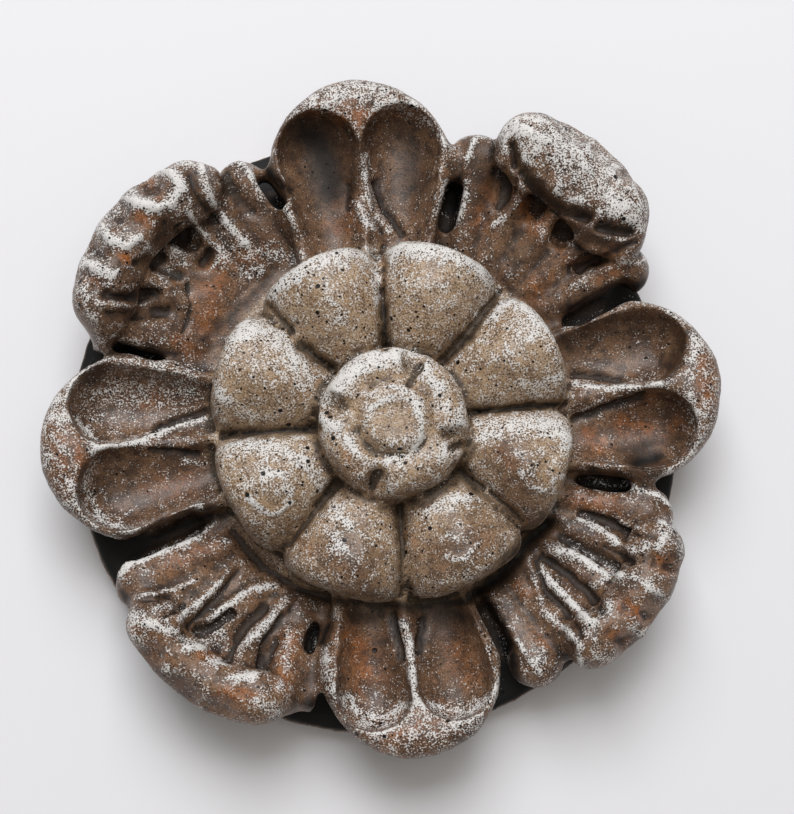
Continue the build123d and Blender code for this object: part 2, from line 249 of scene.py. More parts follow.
southWestLeaf = {
    "carved": (
        (4.0, 0.8, (120, 575), (132, 561), (161, 551), (190, 539), (214, 522)),
        (2.6, 0.6, (139, 597), (173, 590), (195, 580)),
        (3.5, 0.8, (180, 619), (199, 604), (219, 585), (230, 572)),
        (4.0, 0.9, (209, 621), (228, 604), (252, 590), (276, 587)),
        (5.0, 1.1, (240, 647), (260, 633), (276, 614), (285, 602)),
        (9.0, 1.0, (291, 635), (286, 667), (286, 691)),
        (3.0, 0.7, (315, 647), (312, 628)),
        (2.6, -0.8, (142, 599), (168, 597)),
        (5.5, -1.4, (238, 570), (224, 590), (202, 614), (185, 635)),
        (5.5, -1.6, (264, 607), (243, 628), (229, 657)),
        (3.0, -1.2, (281, 616), (264, 643), (260, 667)),
        (2.4, -0.8, (165, 617), (185, 606)),
        (5.0, 0.7, (149, 623), (165, 632)),
        (5.0, 0.7, (187, 650), (207, 645)),
        (5.0, 0.7, (226, 664), (215, 668)),
        (5.0, 0.7, (240, 678), (254, 676)),
        (7.0, -0.5, (238, 693), (246, 696)),
        (6.0, -0.5, (150, 650), (158, 656)),
    ),
    "white": (
        (3.4, 1.0, (120, 575), (132, 561), (161, 551), (190, 539), (214, 522)),
        (2.4, 0.5, (139, 597), (173, 590), (195, 580)),
        (3.0, 0.7, (180, 619), (199, 604), (219, 585)),
        (3.4, 0.7, (209, 621), (228, 604), (252, 590), (276, 587)),
        (4.4, 0.6, (244, 645), (260, 633), (276, 614)),
        (2.6, 0.6, (315, 647), (312, 628)),
        (4.0, 1.0, (122, 614), (149, 624), (173, 630), (187, 645), (205, 645), (223, 639)),
        (3.4, 0.9, (205, 659), (215, 662), (227, 661)),
        (4.0, 1.0, (228, 679), (240, 677), (253, 675)),
        (4.0, 0.9, (258, 702), (266, 708), (277, 712)),
        (4.0, 0.6, (160, 665), (180, 672), (200, 680)),
        (6.0, 0.5, (130, 628), (150, 644)),
    ),
    "rust": (
        (6.0, 0.5, (126, 628), (134, 632)),
        (6.0, 1.0, (203, 653), (214, 656)),
        (7.0, 0.6, (150, 648), (162, 654)),
        (9.0, 0.9, (228, 692), (248, 696)),
        (11.0, 0.6, (290, 640), (284, 680)),
        (9.0, 0.5, (170, 565), (206, 548)),
        (7.0, 0.35, (196, 556), (216, 545)),
    ),
    # painted shade in the flutes and hollows
    "blackAndShade": (
        (5.0, 0.4, (238, 570), (224, 590), (202, 614), (185, 635)),
        (5.0, 0.5, (264, 607), (243, 628), (229, 657)),
        (3.0, 0.6, (281, 616), (264, 643), (260, 667)),
        (2.4, 0.8, (142, 599), (168, 597)),
        (8.0, 0.35, (140, 656), (160, 676)),
        (3.4, 0.8, (122, 592), (126, 600)),
    ),
}
cuppedPetals = {
    "carved": (
        # north
        (3.5, 0.7, (365, 156), (366, 185), (372, 209), (390, 232)),
        (6.0, 0.9, (356, 205), (372, 228)),
        (3.0, -1.4, (377, 182), (385, 209), (402, 234)),
        (4.0, -0.8, (346, 185), (346, 208)),
        (5.0, -1.2, (278, 185), (288, 192)),
        # east
        (3.5, 0.8, (576, 387), (607, 389), (660, 384)),
        (3.5, -1.4, (574, 374), (619, 379)),
        (3.5, -1.3, (574, 420), (607, 408), (643, 397)),
        (9.0, -1.2, (641, 462), (650, 458)),
        (3.0, -1.6, (591, 472), (619, 479)),
        # south
        (4.0, 0.7, (403, 623), (411, 647), (413, 695)),
        (3.0, -1.5, (391, 614), (401, 659)),
        (4.0, -1.5, (424, 620), (420, 652)),
        # west
        (3.5, 0.8, (101, 447), (139, 441), (175, 426), (204, 418)),
        (3.0, -1.6, (154, 429), (180, 419), (204, 412)),
        (3.0, -1.3, (152, 451), (180, 453), (197, 455)),
    ),
    # partly dry-brush white, partly painted highlight on rims that face north, and a painted silvery sheen in
    # the west cup
    "white": (
        (2.6, 0.9, (290, 117), (315, 104), (340, 100), (358, 94), (380, 97), (403, 105)),
        (3.5, 0.8, (400, 104), (420, 112), (437, 128), (447, 146), (456, 156)),
        (2.6, 0.6, (266, 150), (274, 128), (290, 112), (318, 92), (352, 84)),
        (3.4, 0.7, (365, 156), (366, 185), (372, 209), (390, 232)),
        (6.0, 0.6, (358, 205), (370, 222)),
        (3.0, 0.9, (576, 384), (607, 388), (660, 384)),
        (2.6, 0.9, (569, 322), (588, 320), (607, 305), (627, 297)),
        (4.0, 0.9, (627, 296), (653, 296), (674, 308), (688, 324), (698, 346)),
        (4.0, 0.7, (696, 346), (692, 372), (690, 396), (694, 420), (700, 440)),
        (6.0, 0.4, (704, 352), (716, 380), (716, 410)),
        (4.0, 0.7, (696, 450), (680, 468), (660, 478)),
        (2.4, 0.8, (586, 481), (607, 484)),
        (3.0, 0.7, (574, 412), (600, 412), (630, 401)),
        (4.0, 1.0, (350, 700), (362, 716), (382, 718), (403, 705), (420, 703), (440, 708), (462, 712)),
        (4.0, 1.0, (470, 712), (497, 691), (506, 659), (502, 638), (487, 614)),
        (4.0, 0.9, (324, 648), (326, 672), (335, 692), (350, 706)),
        (6.0, 0.6, (372, 726), (400, 716), (450, 718), (480, 706)),
        (3.4, 0.7, (403, 623), (411, 647), (413, 695)),
        (3.4, 1.0, (101, 447), (139, 441), (175, 426), (204, 418)),
        (3.4, 0.9, (86, 489), (103, 522), (132, 531), (168, 523), (199, 508)),
        (3.4, 0.9, (72, 418), (86, 428), (97, 446), (92, 468), (82, 490)),
        (3.4, 0.9, (66, 400), (76, 378), (92, 364), (112, 356)),
        (5.0, 0.7, (50, 420), (58, 400), (70, 384)),
        (2.6, 0.8, (185, 462), (204, 463)),
        (5.0, 0.7, (115, 411), (121, 414)),
        (20.0, 0.6, (100, 396), (180, 388)),
        (16.0, 0.75, (300, 102), (355, 92), (420, 104)),
        (15.0, 0.65, (368, 722), (415, 736), (470, 716)),
        (15.0, 0.55, (56, 416), (56, 470), (76, 502)),
        (14.0, 0.45, (706, 340), (713, 390), (708, 440)),
        (3.0, 0.7, (60, 470), (76, 496), (96, 524)),
    ),
    "rust": (
        (8.0, 0.9, (334, 113), (352, 118), (372, 113)),
        (6.0, 0.5, (306, 112), (320, 112)),
        (7.0, 0.6, (330, 226), (334, 230)),
        (9.0, 0.9, (590, 436), (600, 446)),
        (11.0, 0.8, (626, 424), (648, 428)),
        (8.0, 0.5, (660, 440), (676, 424)),
        (9.0, 0.4, (640, 402), (650, 396)),
        (9.0, 0.5, (702, 360), (706, 400)),
        (8.0, 0.7, (76, 444), (80, 462)),
        (6.0, 0.5, (60, 440), (66, 470)),
        (10.0, 0.4, (140, 404), (160, 400)),
        (14.0, 0.35, (310, 108), (400, 108)),
        (14.0, 0.35, (380, 728), (450, 720)),
        (14.0, 0.3, (62, 430), (64, 480)),
        (10.0, 0.4, (170, 486), (190, 480)),
        (16.0, 0.75, (354, 640), (366, 676)),
        (14.0, 0.45, (456, 650), (470, 676)),
        (12.0, 0.4, (340, 205), (350, 222)),
        (12.0, 0.4, (150, 490), (186, 484)),
        (9.0, 0.7, (400, 731), (424, 726)),
        (8.0, 0.6, (384, 736), (392, 738)),
        (9.0, 0.4, (450, 650), (455, 668)),
    ),
    # painted shade in the grooves, and over the north cups, which lie in the shadow of their rims
    "blackAndShade": (
        (3.0, 0.9, (377, 182), (385, 209), (402, 234)),
        (22.0, 0.9, (306, 132), (322, 150), (330, 190)),
        (16.0, 0.55, (404, 130), (412, 150), (410, 185)),
        (18.0, 0.5, (326, 130), (338, 170)),
        (5.0, 1.0, (268, 168), (278, 185), (290, 190)),
        (3.5, 1.0, (574, 374), (619, 379)),
        (3.5, 1.0, (574, 420), (607, 408), (643, 397)),
        (9.0, 1.0, (636, 464), (656, 456)),
        (5.0, 0.6, (619, 450), (652, 444), (680, 438)),
        (3.0, 1.0, (591, 472), (619, 479)),
        (9.0, 0.5, (684, 330), (678, 350), (668, 372)),
        (3.0, 1.0, (391, 614), (401, 659)),
        (4.0, 1.0, (424, 620), (420, 652)),
        (14.0, 0.7, (440, 612), (466, 616)),
        (9.0, 0.6, (352, 620), (372, 618)),
        (3.0, 1.0, (154, 429), (180, 419), (204, 412)),
        (3.0, 1.0, (152, 451), (180, 453), (197, 455)),
        (7.0, 0.5, (92, 380), (100, 366)),
    ),
}
# the raised ring of the boss's button
buttonRing = ((370, 409), (384, 400), (397, 397), (412, 402), (421, 418), (420, 440), (408, 456), (386, 460))
beadsAndBoss = {
    "brown": (
        (28.0, 0.9, (440, 560), (480, 540)),
        (30.0, 0.95, (360, 585), (340, 556)),
        (24.0, 0.95, (508, 455), (530, 520)),
        (14.0, 0.4, (244, 530), (290, 560)),
        (12.0, 0.5, (336, 470), (370, 490)),
        (12.0, 0.5, (410, 500), (440, 480)),
    ),
    "lowered": (
        (3.0, 1.2, (384, 246), (384, 270)),
        (5.0, 2.4, (384, 290), (385, 345)),
        (3.5, 1.2, (270, 305), (292, 330)),
        (5.0, 2.2, (300, 345), (330, 366)),
        (3.5, 1.4, (498, 292), (470, 330)),
        (4.5, 2.0, (466, 336), (444, 358)),
        (4.0, 2.0, (566, 402), (476, 411)),
        (4.0, 1.8, (222, 436), (316, 428)),
        (3.5, 1.2, (292, 545), (318, 508)),
        (5.0, 2.2, (318, 506), (334, 486)),
        (4.0, 1.6, (400, 595), (402, 545)),
        (5.5, 2.2, (402, 540), (399, 508)),
        (3.5, 1.4, (525, 520), (490, 490)),
        (5.0, 2.2, (484, 486), (462, 470)),
    ),
    "carved": (
        # fuller beads
        (24.0, 1.5, (428, 288), (436, 292)),
        (24.0, 1.5, (332, 300), (336, 308)),
        (22.0, 1.5, (264, 372), (272, 380)),
        (22.0, 1.5, (508, 354), (516, 352)),
        (22.0, 1.5, (516, 462), (526, 466)),
        (22.0, 1.5, (458, 544), (466, 550)),
        (22.0, 1.5, (350, 548), (356, 556)),
        (22.0, 1.5, (268, 484), (276, 488)),
        # the button's edge, crusts on the beads, and dents and notches of the boss
        (7.0, 0.6, (353, 420), (366, 396), (392, 386), (420, 394), (434, 416)),
        (7.0, 0.6, (434, 430), (426, 452), (400, 468), (370, 462), (354, 440)),
        (2.0, 0.45, (530, 486), (545, 491), (552, 480)),
        (2.0, 0.45, (444, 556), (463, 561), (475, 546)),
        (2.0, 0.45, (248, 498), (272, 515), (291, 503), (292, 490)),
        (6.0, -0.5, (540, 470), (556, 452)),
        (5.0, -0.4, (455, 548), (462, 550)),
        (6.0, -0.5, (264, 494), (276, 500)),
        (6.0, -0.6, (338, 528), (352, 545)),
        (3.5, -1.4, (452, 447), (462, 445)),
        (2.0, 0.4, *buttonRing),
        (4.0, -0.8, (420, 366), (409, 384)),
        (3.5, -0.8, (328, 416), (346, 420)),
        (4.0, -1.0, (372, 488), (378, 474)),
    ),
    # partly dry-brush white, partly painted highlight on the beads' north edges, which face the light
    "white": (
        (9.0, 0.7, (274, 291), (286, 276), (306, 261), (330, 252), (356, 249), (372, 254)),
        (4.0, 0.6, (378, 268), (378, 300)),
        (9.0, 0.8, (394, 250), (420, 243), (450, 247), (474, 260), (494, 280)),
        (7.0, 0.8, (230, 338), (246, 328), (268, 331), (288, 350), (306, 378)),
        (5.0, 0.5, (216, 390), (232, 404), (252, 412)),
        (8.0, 0.7, (484, 314), (508, 299), (532, 304), (552, 326)),
        (6.0, 0.5, (520, 324), (530, 336)),
        (4.0, 0.7, (521, 382), (540, 386), (560, 376)),
        (7.0, 0.8, (482, 434), (510, 426), (548, 424), (568, 440)),
        (2.0, 0.9, (521, 472), (530, 488), (545, 491)),
        (2.0, 0.8, (552, 480), (566, 474)),
        (5.0, 0.6, (424, 512), (442, 502), (464, 498)),
        (1.8, 0.9, (444, 556), (463, 561), (475, 546)),
        (5.0, 0.7, (334, 512), (348, 522), (332, 542), (340, 548)),
        (7.0, 0.7, (233, 449), (256, 444), (288, 454), (308, 468), (320, 482)),
        (2.0, 0.8, (248, 498), (262, 512), (282, 512), (292, 490)),
        (3.0, 0.7, (262, 472), (278, 474), (288, 484)),
        (8.0, 0.8, (326, 398), (340, 378), (362, 362), (388, 354), (406, 352)),
        (4.0, 0.8, (424, 370), (436, 388), (444, 408)),
        (3.0, 0.9, *buttonRing),
        (5.0, 0.7, (322, 424), (338, 434), (352, 448)),
        (4.0, 0.6, (440, 460), (456, 430), (462, 404)),
    ),
    "rust": (
        (7.0, 0.3, (300, 536), (310, 556)),
        (6.0, 0.3, (500, 450), (512, 462)),
        (6.0, 0.3, (408, 534), (420, 548)),
        (5.0, 0.35, (384, 250), (386, 300)),
        (6.0, 0.3, (346, 452), (356, 472)),
    ),
    # painted shade in the grooves between the beads and around the boss
    "blackAndShade": (
        (2.4, 0.6, (384, 250), (384, 300)),
        (4.5, 1.0, (384, 305), (385, 345)),
        (3.0, 0.7, (268, 303), (300, 342)),
        (5.5, 1.0, (305, 348), (332, 368)),
        (4.5, 0.9, (444, 360), (470, 336), (495, 300)),
        (3.5, 1.0, (560, 404), (476, 412)),
        (5.5, 0.9, (458, 468), (476, 490)),
        (3.0, 0.7, (480, 492), (520, 520)),
        (5.5, 0.9, (316, 508), (334, 486)),
        (3.0, 0.7, (296, 540), (316, 512)),
        (5.5, 0.9, (399, 508), (402, 536)),
        (2.6, 0.7, (402, 540), (402, 592)),
        (3.0, 0.9, (452, 446), (462, 444)),
        (5.0, 1.0, (230, 434), (318, 428)),
        (3.0, 0.6, (318, 392), (312, 428), (322, 462), (346, 494)),
        (3.0, 0.6, (352, 352), (385, 344), (430, 348)),
        (4.0, 0.7, (380, 508), (424, 504), (456, 482), (474, 446)),
    ),
}
# Gaps that open down to the dark flange
gaps = {
    "lowered": (
        (6.0, 2.0, (548, 522), (522, 548), (500, 575), (470, 597)),
        (5.0, 1.2, (232, 532), (262, 566), (300, 590), (345, 603)),
    ),
    # painted shade in the gaps, over the flange's black paint
    "blackAndShade": (
        (9.0, 1.0, (548, 522), (522, 548), (500, 575), (470, 598)),
        (7.0, 0.9, (470, 600), (425, 607), (380, 605)),
        (5.0, 0.7, (232, 532), (262, 566), (300, 590), (345, 603)),
        (4.0, 0.6, (204, 340), (230, 316), (262, 286), (276, 268)),
        (4.0, 0.5, (512, 290), (550, 318), (572, 352)),
        (5.0, 1.0, (451, 202), (460, 175)),
        (8.0, 1.0, (571, 310), (593, 300), (622, 291), (645, 284)),
        (6.0, 1.0, (485, 599), (502, 623), (511, 647), (514, 679)),
        (5.0, 1.0, (329, 626), (322, 643)),
        (9.0, 1.0, (115, 551), (156, 537), (192, 522), (209, 515)),
        (6.0, 1.0, (308, 702), (320, 714)),
        (5.0, 0.9, (110, 352), (150, 350), (176, 354)),
        (7.0, 1.0, (667, 490), (690, 482)),
    ),
}
regions = (northWestLeaf, northEastLeaf, southEastLeaf, southWestLeaf, cuppedPetals, beadsAndBoss, gaps)


def srgb(code):
    # a hex colour as linear red, green, blue and alpha
    values = [int(code[place:place + 2], 16) / 255 for place in (0, 2, 4)]
    return tuple(v / 12.92 if v <= 0.04045 else ((v + 0.055) / 1.055) ** 2.4 for v in values) + (1.0,)


def smoothStep(values, low, high):
    share = np.clip((values - low) / (high - low), 0, 1)
    return share * share * (3 - 2 * share)


# The photograph's view: how far off the camera stands and how it leans, in degrees, and how the rosette falls
# in the picture
view = {
    "distance": 420 * mm,
    "tiltSouth": 8.5,
    "tiltWest": 2.5,
    "spin": 5.0,  # the rosette's turn in the picture
    "picture": (794, 814),
    "middlePixel": (376.0, 432.0),  # where the middle of the rosette's back falls
    "boardScale": 0.2422 * mm,  # one pixel on the board
    "sensor": 36,  # millimetres
    "nearest": 10 * mm,  # where the camera begins to see
}


def pictureAxes():
    # the camera's right, up and backward directions in the rosette's own frame
    south, west = radians(view["tiltSouth"]), radians(view["tiltWest"])
    back = Vector((-sin(west), -sin(south), 0))
    back.z = sqrt(1 - back.length_squared)
    right = Vector((0, 1, 0)).cross(back).normalized()
    turn = Matrix.Rotation(-radians(view["spin"]), 3, "Z")
    return turn @ right, turn @ back.cross(right), turn @ back


def inPicture(points):
    # the pixel of the photograph that each point falls on
    right, up, back = (np.array(axis) for axis in pictureAxes())
    away = points - back * view["distance"]
    scale = view["distance"] / view["boardScale"] / -(away @ back)
    across, down = view["middlePixel"]
    return np.stack((across + scale * (away @ right), down - scale * (away @ up)), axis=1)


casting = {
    "merge": 0.002 * mm,  # points nearer than this are one
    "voxel": 0.85 * mm,
    "backCut": 0.4 * mm,  # the skin is cut here and closed by a flat back
    "backBelow": 0.42 * mm,  # then all points lower than this go down to the wall
    "foot": (0.8 * mm, 2.0 * mm),  # softening, carving and relief come in between these heights
    "flowerMiddle": (2.6 * mm, -0.9 * mm),
    "flowerEdge": (41.5 * mm, 44.0 * mm),  # the flower ends between these distances from its middle
    "petalSides": (0.72, 0.85),  # where a cupped petal ends: 0 is its middle, 1 a leaf's
    "softening": 2,  # rounds of smoothing, as all rounds below
    "petalSoftening": 9,
    "markRounds": 2,
    "paintRounds": 1,
    "normalRounds": 3,
    "skyRounds": 3,
    "hollows": {"fineHollow": 5, "broadHollow": 36},  # how far each point lies below a skin smoothed so
    "wear": 0.225 * mm,  # gone all over
    # swell, ripple and sandy grain: height, size and seed
    "relief": ((0.45 * mm, 14 * mm, 1), (0.24 * mm, 4.5 * mm, 2), (0.08 * mm, 1.3 * mm, 3)),
    "wobble": 2.6,  # pixels by which the edges of the paint wander
    "markWobble": 0.5,  # the marks' share of it
    "wobbleSize": 2.2 * mm,
    "wobbleSeeds": (4, 5),
    "brushSpread": 1.45,  # how much wider the white is than its strokes
    "flangeTop": (8.5 * mm, 10.5 * mm),  # the flange's black ends between these heights
    "flangeLevel": (0.3, 0.7),  # and comes in between these, as the skin turns to face up
}


def copyOfNode(name):
    # the CAD node's mesh as one closed skin of even small faces, with a flat back of a few large ones
    built = bpy.data.meshes.new(name + "_skin")
    bm = bmesh.new()
    bm.from_mesh(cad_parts[name].data)
    bmesh.ops.remove_doubles(bm, verts=bm.verts, dist=casting["merge"])
    bm.to_mesh(built)
    bm.free()
    piece = bpy.data.objects.new("rosette_casting", built)
    bpy.context.scene.collection.objects.link(piece)
    remesh = piece.modifiers.new("even", "REMESH")
    remesh.mode = "VOXEL"
    remesh.voxel_size = casting["voxel"]
    bpy.context.view_layer.update()
    even = bpy.data.meshes.new_from_object(piece.evaluated_get(bpy.context.evaluated_depsgraph_get()))
    piece.modifiers.clear()
    bm = bmesh.new()
    bm.from_mesh(even)
    cut = bmesh.ops.bisect_plane(
        bm,
        geom=bm.verts[:] + bm.edges[:] + bm.faces[:],
        plane_co=(0, 0, casting["backCut"]),
        plane_no=(0, 0, 1),
        clear_inner=True,
    )
    rim = [part for part in cut["geom_cut"] if isinstance(part, bmesh.types.BMEdge)]
    bmesh.ops.holes_fill(bm, edges=rim, sides=0)
    # only the cut makes faces of more than four corners
    bmesh.ops.triangulate(bm, faces=[face for face in bm.faces if len(face.verts) > 4])
    bm.to_mesh(even)
    bm.free()
    for face in even.polygons:
        face.use_smooth = True
    piece.data = even
    return piece


class Skin:
    # a mesh's points as arrays, with the averaging that smoothing and the crest maps use
    def __init__(self, mesh):
        self.mesh = mesh
        points = np.empty(len(mesh.vertices) * 3)
        mesh.vertices.foreach_get("co", points)
        self.points = points.reshape(-1, 3)
        edges = np.empty(len(mesh.edges) * 2, int)
        mesh.edges.foreach_get("vertices", edges)
        self.edges = edges.reshape(-1, 2)
        self.degree = np.bincount(edges, minlength=len(mesh.vertices))

    def average(self, values):
        # the mean of each point's neighbours
        columns = values.reshape(len(values), -1)
        start, end = self.edges.T
        total = np.empty_like(columns)
        for number, column in enumerate(columns.T):
            fromEnds = np.bincount(start, column[end], len(column))
            fromStarts = np.bincount(end, column[start], len(column))
            total[:, number] = fromEnds + fromStarts
        return (total / self.degree[:, None]).reshape(values.shape)

    def smoothed(self, values, rounds):
        # each round is half the point's own value and half its neighbours'
        for _ in range(rounds):
            values = 0.5 * values + 0.5 * self.average(values)
        return values

    def normals(self):
        values = np.empty(len(self.points) * 3)
        self.mesh.vertices.foreach_get("normal", values)
        return values.reshape(-1, 3)

    def store(self):
        self.mesh.vertices.foreach_set("co", self.points.ravel())
        self.mesh.update()

    def keep(self, name, values):
        values = values.astype(np.float32)
        self.mesh.attributes.new(name, "FLOAT", "POINT").data.foreach_set("value", values)


seedSteps = (7.3, 3.1, 5.7)  # each seed reads the noise this much further on


def noiseOf(points, size, seed):
    # smooth noise of about -1 to 1 at each point, with features of the given size
    shift = Vector([seed * step for step in seedSteps])
    return np.array([noise.noise(Vector(point) / size + shift) for point in points])


# Rays that feel how open each point is
rays = {
    "rings": ((0.5, 5, 0.0), (1.0, 7, 0.5)),  # how far they lean, how many, and their turn in parts of a step
    "droop": 0.35,  # how much lower a ray points for its lean
    "lift": 0.3 * mm,  # where they start, off the skin
    "leastRise": 0.02,  # flatter to the skin than this, a ray counts as stopped
    "skyReach": 30 * mm,
    "cameraReach": 60 * mm,
    "facing": (0.05, 0.4),  # marks and paint fade between these where the skin turns from the camera
}


def skyShare(skin, normals):
    # the share of the sky that each point sees, and how well the camera sees it, from 0 to 1
    mesh = skin.mesh
    corners = [vertex.co for vertex in mesh.vertices]
    tree = BVHTree.FromPolygons(corners, [face.vertices for face in mesh.polygons])
    upward = [Vector((0, 0, 1))]
    for lean, count, offset in rays["rings"]:
        for number in range(count):
            turn = tau * (number + offset) / count
            ray = Vector((lean * cos(turn), lean * sin(turn), 1.0 - rays["droop"] * lean))
            upward.append(ray.normalized())
    lens = pictureAxes()[2] * view["distance"]
    sky, shown = np.zeros(len(skin.points)), np.zeros(len(skin.points))
    for place, (point, normal) in enumerate(zip(skin.points, normals)):
        normal = Vector(normal)
        start = Vector(point) + normal * rays["lift"]
        rising = [ray for ray in upward if ray.dot(normal) > rays["leastRise"]]
        free = sum(tree.ray_cast(start, ray, rays["skyReach"])[0] is None for ray in rising)
        sky[place] = free / len(upward)
        sight = (lens - start).normalized()
        if tree.ray_cast(start, sight, rays["cameraReach"])[0] is None:
            shown[place] = smoothStep(sight.dot(normal), *rays["facing"])
    return sky, shown


def alongStrokes(pixels, strokes, bestOnly=True, spread=1.0):
    # each point's strongest stroke, or the sum of all, fading out from the stroke's middle line
    total = np.zeros(len(pixels))
    for halfWidth, strength, *corners in strokes:
        near = np.full(len(pixels), np.inf)
        for start, end in zip(np.array(corners[:-1], float), np.array(corners[1:], float)):
            run = end - start
            share = np.clip(((pixels - start) @ run) / (run @ run), 0, 1)
            near = np.minimum(near, np.hypot(*(pixels - start - share[:, None] * run).T))
        part = strength * np.exp(-((near / halfWidth / spread) ** 2))
        total = np.maximum(total, part) if bestOnly else total + part
    return total


def carve(skin):
    # softens the skin as a worn mould does, cuts the tool marks and roughens it; gives what the paint needs
    points = skin.points
    high = smoothStep(points[:, 2], *casting["foot"])
    across = np.hypot(*(points[:, :2] - np.array(casting["flowerMiddle"])).T)
    flower = 1 - smoothStep(across, *casting["flowerEdge"])
    soft = skin.smoothed(points, casting["softening"])
    softer = skin.smoothed(soft, casting["petalSoftening"])
    around = np.abs(np.sin(2 * np.arctan2(points[:, 1], points[:, 0])))
    petal = (1 - flower) * (1 - smoothStep(around, *casting["petalSides"]))
    points += high[:, None] * (soft + petal[:, None] * (softer - soft) - points)
    skin.store()
    normals = skin.normals()
    shown = skin.smoothed(skyShare(skin, normals)[1], casting["markRounds"])
    wobble = [noiseOf(points, casting["wobbleSize"], seed) for seed in casting["wobbleSeeds"]]
    wobble = casting["wobble"] * np.stack(wobble, axis=1)
    pixels = inPicture(points) + casting["markWobble"] * wobble
    for region in regions:
        points[:, 2] -= alongStrokes(pixels, region.get("lowered", ())) * shown * mm
    carved = sum(alongStrokes(pixels, region.get("carved", ()), False) for region in regions)
    push = carved * shown * mm - casting["wear"]
    for height, size, seed in casting["relief"]:
        push += height * noiseOf(points, size, seed)
    points += skin.smoothed(normals, casting["normalRounds"]) * (high * push)[:, None]
    low, top = (np.array(corner) for corner in cadBox)
    np.clip(points, low, top, out=points)
    points[points[:, 2] <= casting["backBelow"], 2] = 0
    skin.store()
    return flower, wobble


def keepPaintMaps(skin, flower, wobble):
    # stores the hollows, the open sky and the strokes of each paint, the black partly painted shade and the
    # white partly painted highlight, as attributes that the cement reads
    normals = skin.normals()
    sky, shown = skyShare(skin, normals)
    for name, rounds in casting["hollows"].items():
        hollow = skin.smoothed(skin.points, rounds) - skin.points
        skin.keep(name, (hollow * normals).sum(1) / mm)
    skin.keep("open", skin.smoothed(sky, casting["skyRounds"]))
    pixels = inPicture(skin.points) + wobble
    shown = skin.smoothed(shown, casting["paintRounds"])
    skin.keep("tan", flower * (1 - alongStrokes(pixels, beadsAndBoss["brown"]) * shown))
    level = smoothStep(normals[:, 2], *casting["flangeLevel"])
    flange = level * (1 - smoothStep(skin.points[:, 2], *casting["flangeTop"]))
    # the white is dry brush and partly painted highlight; the black is the flange's paint and painted shade
    for name in ("white", "rust", "blackAndShade"):
        best = np.zeros(len(pixels))
        for region in regions:
            spread = casting["brushSpread"] if name == "white" else 1.0
            part = alongStrokes(pixels, region.get(name, ()), spread=spread)
            if name == "white":
                part *= flower if region is beadsAndBoss else 1 - flower
            best = np.maximum(best, part)
        best *= shown
        skin.keep(name, np.maximum(best, flange) if name == "blackAndShade" else best)


def addNode(tree, kind, inputs, output=0, **settings):
    # a node with its settings and links; gives the output asked for
    made = tree.nodes.new("ShaderNode" + kind)
    for name, value in settings.items():
        setattr(made, name, value)
    for socket, value in inputs.items():
        if isinstance(value, bpy.types.NodeSocket):
            tree.links.new(value, made.inputs[socket])
        else:
            made.inputs[socket].default_value = value
    return made.outputs[output] if made.outputs else made


# Limits are Map Range sockets: 1 and 2 are the values in, 3 and 4 the values out, 0 and 1 where not given.
cement = {
    "brown": "694E3A",
    "brownLight": "89694F",
    "brownDark": "3A2E27",
    "tan": "A68A6B",
    "tanLight": "B99E80",
    "tanDark": "7C6450",
    "rust": "A8642E",
    "blackAndShade": "090706",
    "brushAndHighlight": "E6E4E0",
    # patches and mottling of the stain, clumps and specks of the brushed white: millimetres, and detail
    "noises": {"patch": (11.0, 3.0), "mottle": (2.6, 4.0), "clump": (2.2, 3.0), "speck": (0.4, 2.0)},
    "noiseRoughness": 0.6,
    # shares that follow one noise or map
    "eased": {
        "paler": ("patch", {1: 0.35, 2: 0.65}),
        "darker": ("mottle", {1: 0.42, 2: 0.66, 4: 0.7}),
        "rusty": ("mottle", {1: 0.62, 2: 0.34, 3: 0.35}),
        "grains": ("speck", {1: 0.46, 2: 0.38, 4: 0.85}),
        # deep and crease are painted shade: black where little sky is seen and in fine creases
        "deep": ("open", {1: 0.5, 2: 0.08}),
        "crease": ("fineHollow", {1: 0.02, 2: 0.2, 4: 0.8}),
        "crest": ("fineHollow", {1: 0.0, 2: -0.16, 4: 0.34}),
        "bulge": ("broadHollow", {1: 0.1, 2: -1.6, 4: 0.22}),
        # lit is painted highlight: white on slopes that face north, toward the light
        "lit": ("north", {1: -0.25, 2: 0.75, 4: 0.2}),
    },
    "clean": {1: 0.6, 2: 0.1},  # wear fades out as the black and painted shade go from the second to the first
    "wear": 0.03,  # everywhere
    "flowerWear": 0.3,  # and this much more on the flower
    "brushGains": {"white": 0.9, "blackAndShade": -0.9, "clump": 2.2, "speck": 5.0},  # what each adds to the wear
    "brushedAndHighlight": {1: 4.3, 2: 4.7, 4: 0.92},  # white comes in as that sum goes from the first to the second
    "airHoles": ((1.7, 0.34), (5.0, 0.62)),  # small and large: millimetres apart, and their radius
    "airHoleScatter": 0.9,
    "airHoleFloor": 0.7,  # a hole is at full depth within this share of its radius
    "airHoleRarity": {3: 0.9, 4: 0.5},  # the share of cells with no hole: in brown, and in tan or white
    "relief": {"clump": 0.16, "speck": 0.1, "brushedAndHighlight": 0.06, "holes": -0.4},  # millimetres
    "roughness": {3: 0.31, 4: 0.68},  # bare stain, and black, painted shade and white
    "ior": 1.5,
    "specular": 0.4,
}


